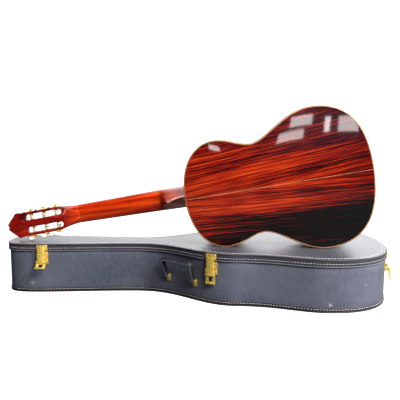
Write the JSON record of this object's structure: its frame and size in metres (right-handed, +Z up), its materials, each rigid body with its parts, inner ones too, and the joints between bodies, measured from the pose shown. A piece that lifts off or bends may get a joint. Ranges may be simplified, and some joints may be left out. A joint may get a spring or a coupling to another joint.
{
  "type": "classical guitar on its case",
  "caption": "Classical guitar lying on its side on its own closed hard case, with a lid, latches, a carrying handle and tuning machines that work.",
  "frame": {"origin": "middle of the case's length, on its centre line, on its underside", "axes": "+X along the case towards the guitar's tail, -Y towards the handle and latches, +Z up"},
  "size_m": [1.031, 0.4435, 0.4979],
  "materials": {
    "vinyl": "grained satin",
    "plush": "plush pile",
    "brass": "polished",
    "grip": "satin",
    "rosewood": "gloss lacquer",
    "cedar": "gloss lacquer",
    "mahogany": "gloss lacquer",
    "ebony": "oiled",
    "spruce": "bare",
    "bone": "polished",
    "pearl": "pearl",
    "nylon": "clear",
    "wound": "wound"
  },
  "bodies": {
    "case_base": {"case_bottom_panel": "vinyl", "case_side_wall": "vinyl", "base_lining": "plush", "neck_cradle": "plush", "handle_post_left": "brass", "handle_post_right": "brass", "hinge_1_base_leaf": "brass", "hinge_2_base_leaf": "brass", "latch_1_base_plate": "brass", "latch_2_base_plate": "brass", "latch_3_base_plate": "brass"},
    "lid": {"case_lid_rim": "vinyl", "case_lid_panel": "vinyl", "lid_lining": "plush", "hinge_1_lid_leaf": "brass", "hinge_2_lid_leaf": "brass", "latch_1_catch": "brass", "latch_2_catch": "brass", "latch_3_catch": "brass"},
    "handle": {"handle": "grip"},
    "compartment_lid": {"compartment_lid": "plush"},
    "latch_1_lever": {"latch_1_lever": "brass"},
    "latch_1_link": {"latch_1_link": "brass"},
    "latch_2_lever": {"latch_2_lever": "brass"},
    "latch_2_link": {"latch_2_link": "brass"},
    "latch_3_lever": {"latch_3_lever": "brass"},
    "latch_3_link": {"latch_3_link": "brass"},
    "guitar": {"back_plate": "rosewood", "soundboard": "cedar", "rib_bass": "rosewood", "rib_treble": "rosewood", "top_braces": "spruce", "tail_block": "spruce", "neck": "mahogany", "head_veneer": "rosewood", "heel_cap": "rosewood", "fingerboard": "ebony", "nut": "bone", "bridge": "rosewood", "saddle": "bone", "string_1_e": "nylon", "string_2_b": "nylon", "string_3_g": "nylon", "string_4_d": "wound", "string_5_a": "wound", "string_6_e": "wound", "tuner_plate_bass": "brass", "tuner_plate_treble": "brass"},
    "tuner_roller_bass_1": {"tuner_roller_bass_1": "bone"},
    "tuner_button_bass_1": {"tuner_button_bass_1": "pearl"},
    "tuner_roller_bass_2": {"tuner_roller_bass_2": "bone"},
    "tuner_button_bass_2": {"tuner_button_bass_2": "pearl"},
    "tuner_roller_bass_3": {"tuner_roller_bass_3": "bone"},
    "tuner_button_bass_3": {"tuner_button_bass_3": "pearl"},
    "tuner_roller_treble_1": {"tuner_roller_treble_1": "bone"},
    "tuner_button_treble_1": {"tuner_button_treble_1": "pearl"},
    "tuner_roller_treble_2": {"tuner_roller_treble_2": "bone"},
    "tuner_button_treble_2": {"tuner_button_treble_2": "pearl"},
    "tuner_roller_treble_3": {"tuner_roller_treble_3": "bone"},
    "tuner_button_treble_3": {"tuner_button_treble_3": "pearl"}
  },
  "joints": [
    {"name": "lid_hinge", "type": "hinge", "parent": "case_base", "child": "lid", "pos_m": [-0.46995, 0.06706, 0.1132], "axis": [-0.981, -0.1938, 0], "range_deg": [0, 105]},
    {"name": "guitar_lift", "type": "slide", "parent": "lid", "child": "guitar", "axis": [0, 0, 1], "range_m": [0, 0.45]},
    {"name": "handle_swing", "type": "hinge", "parent": "case_base", "child": "handle", "pos_m": [-0.03484, -0.10209, 0.053], "axis": [-0.8049, 0.5934, 0], "range_deg": [-120, 12]},
    {"name": "compartment_lid_hinge", "type": "hinge", "parent": "case_base", "child": "compartment_lid", "pos_m": [-0.175, 0.028, 0.0463], "axis": [-1, 0, 0], "range_deg": [0, 90]},
    {"name": "latch_1_lever_pivot", "type": "hinge", "parent": "case_base", "child": "latch_1_lever", "pos_m": [-0.40621, -0.06715, 0.086], "axis": [-0.9989, -0.0468, 0], "range_deg": [-60, 35]},
    {"name": "latch_1_link_pivot", "type": "hinge", "parent": "latch_1_lever", "child": "latch_1_link", "pos_m": [-0.40573, -0.07738, 0.08574], "axis": [-0.9989, -0.0468, 0], "range_deg": [-35, 60]},
    {"name": "latch_2_lever_pivot", "type": "hinge", "parent": "case_base", "child": "latch_2_lever", "pos_m": [0.04535, -0.15441, 0.086], "axis": [-0.8977, 0.4406, 0], "range_deg": [0, 95]},
    {"name": "latch_2_link_pivot", "type": "hinge", "parent": "latch_2_lever", "child": "latch_2_link", "pos_m": [0.04319, -0.1588, 0.077], "axis": [-0.8977, 0.4406, 0], "range_deg": [-95, 0]},
    {"name": "latch_3_lever_pivot", "type": "hinge", "parent": "case_base", "child": "latch_3_lever", "pos_m": [0.50047, -0.1004, 0.086], "axis": [-0.3479, -0.9375, 0], "range_deg": [-12, 83]},
    {"name": "latch_3_link_pivot", "type": "hinge", "parent": "latch_3_lever", "child": "latch_3_link", "pos_m": [0.50672, -0.10272, 0.07822], "axis": [-0.3479, -0.9375, 0], "range_deg": [-83, 12]},
    {"name": "tuner_button_bass_1_turn", "type": "hinge", "parent": "guitar", "child": "tuner_button_bass_1", "pos_m": [-0.38622, 0.01149, 0.15087], "axis": [-0.1854, 0.9818, -0.042], "continuous": true},
    {"name": "tuner_roller_bass_1_turn", "type": "hinge", "parent": "guitar", "child": "tuner_roller_bass_1", "pos_m": [-0.38325, 0.01372, 0.19006], "axis": [-0.1734, 0.0094, 0.9848], "continuous": true},
    {"name": "tuner_button_bass_2_turn", "type": "hinge", "parent": "guitar", "child": "tuner_button_bass_2", "pos_m": [-0.41862, 0.00512, 0.14522], "axis": [-0.1854, 0.9818, -0.042], "continuous": true},
    {"name": "tuner_roller_bass_2_turn", "type": "hinge", "parent": "guitar", "child": "tuner_roller_bass_2", "pos_m": [-0.41565, 0.00736, 0.18441], "axis": [-0.1734, 0.0094, 0.9848], "continuous": true},
    {"name": "tuner_button_bass_3_turn", "type": "hinge", "parent": "guitar", "child": "tuner_button_bass_3", "pos_m": [-0.45102, -0.00124, 0.13958], "axis": [-0.1854, 0.9818, -0.042], "continuous": true},
    {"name": "tuner_roller_bass_3_turn", "type": "hinge", "parent": "guitar", "child": "tuner_roller_bass_3", "pos_m": [-0.44805, 0.001, 0.17877], "axis": [-0.1734, 0.0094, 0.9848], "continuous": true},
    {"name": "tuner_button_treble_1_turn", "type": "hinge", "parent": "guitar", "child": "tuner_button_treble_1", "pos_m": [-0.39943, 0.0122, 0.22591], "axis": [-0.1854, 0.9818, -0.042], "continuous": true},
    {"name": "tuner_roller_treble_1_turn", "type": "hinge", "parent": "guitar", "child": "tuner_roller_treble_1", "pos_m": [-0.38325, 0.01372, 0.19006], "axis": [-0.1734, 0.0094, 0.9848], "continuous": true},
    {"name": "tuner_button_treble_2_turn", "type": "hinge", "parent": "guitar", "child": "tuner_button_treble_2", "pos_m": [-0.43183, 0.00584, 0.22027], "axis": [-0.1854, 0.9818, -0.042], "continuous": true},
    {"name": "tuner_roller_treble_2_turn", "type": "hinge", "parent": "guitar", "child": "tuner_roller_treble_2", "pos_m": [-0.41565, 0.00736, 0.18441], "axis": [-0.1734, 0.0094, 0.9848], "continuous": true},
    {"name": "tuner_button_treble_3_turn", "type": "hinge", "parent": "guitar", "child": "tuner_button_treble_3", "pos_m": [-0.46423, -0.00052, 0.21462], "axis": [-0.1854, 0.9818, -0.042], "continuous": true},
    {"name": "tuner_roller_treble_3_turn", "type": "hinge", "parent": "guitar", "child": "tuner_roller_treble_3", "pos_m": [-0.44805, 0.001, 0.17877], "axis": [-0.1734, 0.0094, 0.9848], "continuous": true}
  ],
  "couplings": [
    {"joint": "latch_1_link_pivot", "follows": "latch_1_lever_pivot", "ratio": -1},
    {"joint": "latch_2_link_pivot", "follows": "latch_2_lever_pivot", "ratio": -1},
    {"joint": "latch_3_link_pivot", "follows": "latch_3_lever_pivot", "ratio": -1},
    {"joint": "tuner_roller_bass_1_turn", "follows": "tuner_button_bass_1_turn", "ratio": 0.0625},
    {"joint": "tuner_roller_bass_2_turn", "follows": "tuner_button_bass_2_turn", "ratio": 0.0625},
    {"joint": "tuner_roller_bass_3_turn", "follows": "tuner_button_bass_3_turn", "ratio": 0.0625},
    {"joint": "tuner_roller_treble_1_turn", "follows": "tuner_button_treble_1_turn", "ratio": 0.0625},
    {"joint": "tuner_roller_treble_2_turn", "follows": "tuner_button_treble_2_turn", "ratio": 0.0625},
    {"joint": "tuner_roller_treble_3_turn", "follows": "tuner_button_treble_3_turn", "ratio": 0.0625}
  ]
}
